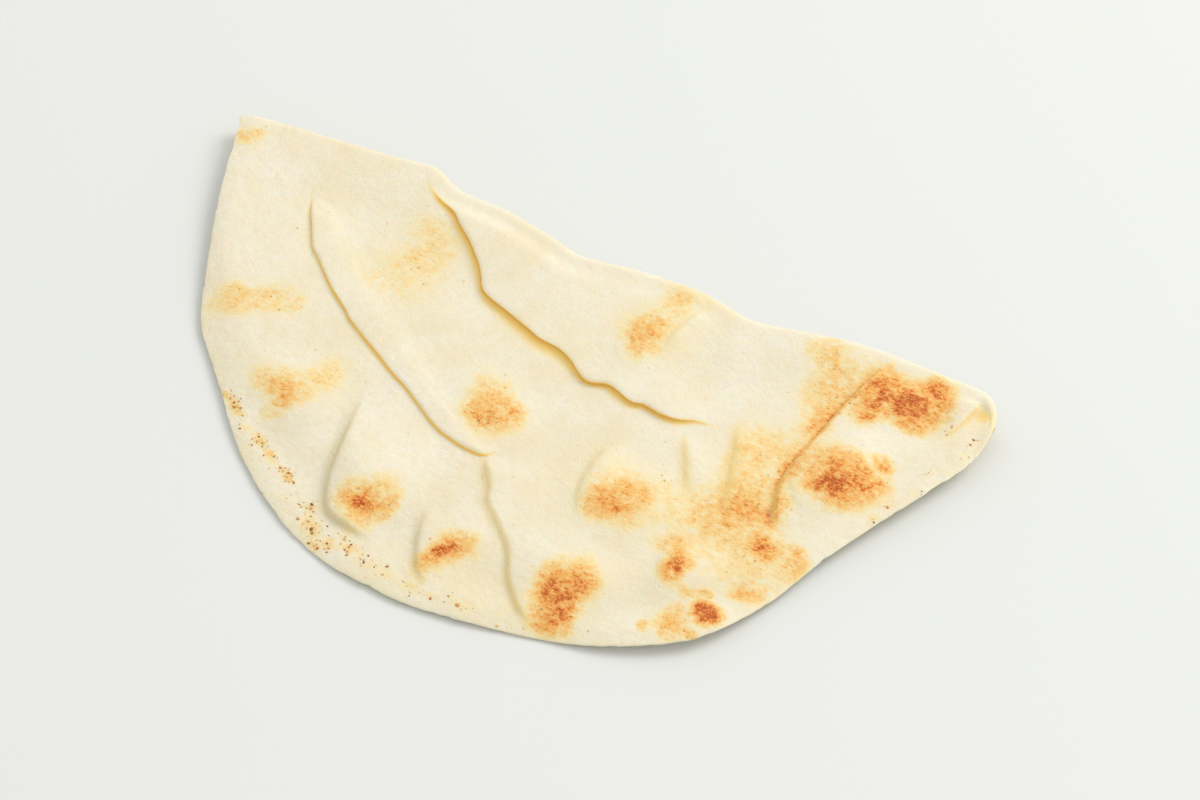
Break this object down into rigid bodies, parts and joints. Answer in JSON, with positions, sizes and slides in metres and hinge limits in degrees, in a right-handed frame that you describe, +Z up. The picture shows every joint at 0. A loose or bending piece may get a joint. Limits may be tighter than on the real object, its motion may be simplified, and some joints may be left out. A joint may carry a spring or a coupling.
{
  "type": "folded pita bread",
  "caption": "Large thin round flatbread folded in half, with a wide upper leaf, a shorter lower leaf, blisters and soft creases.",
  "frame": {"origin": "centre of the bounding box in plan, on the surface that the bread lies on", "axes": "+X along the fold from its flat end to its open end, +Y towards the fold, +Z up"},
  "size_m": [0.3174, 0.1771, 0.0104],
  "materials": {
    "crumb": "matte, floury"
  },
  "bodies": {
    "root": {"pita_bread": "crumb"}
  },
  "joints": []
}
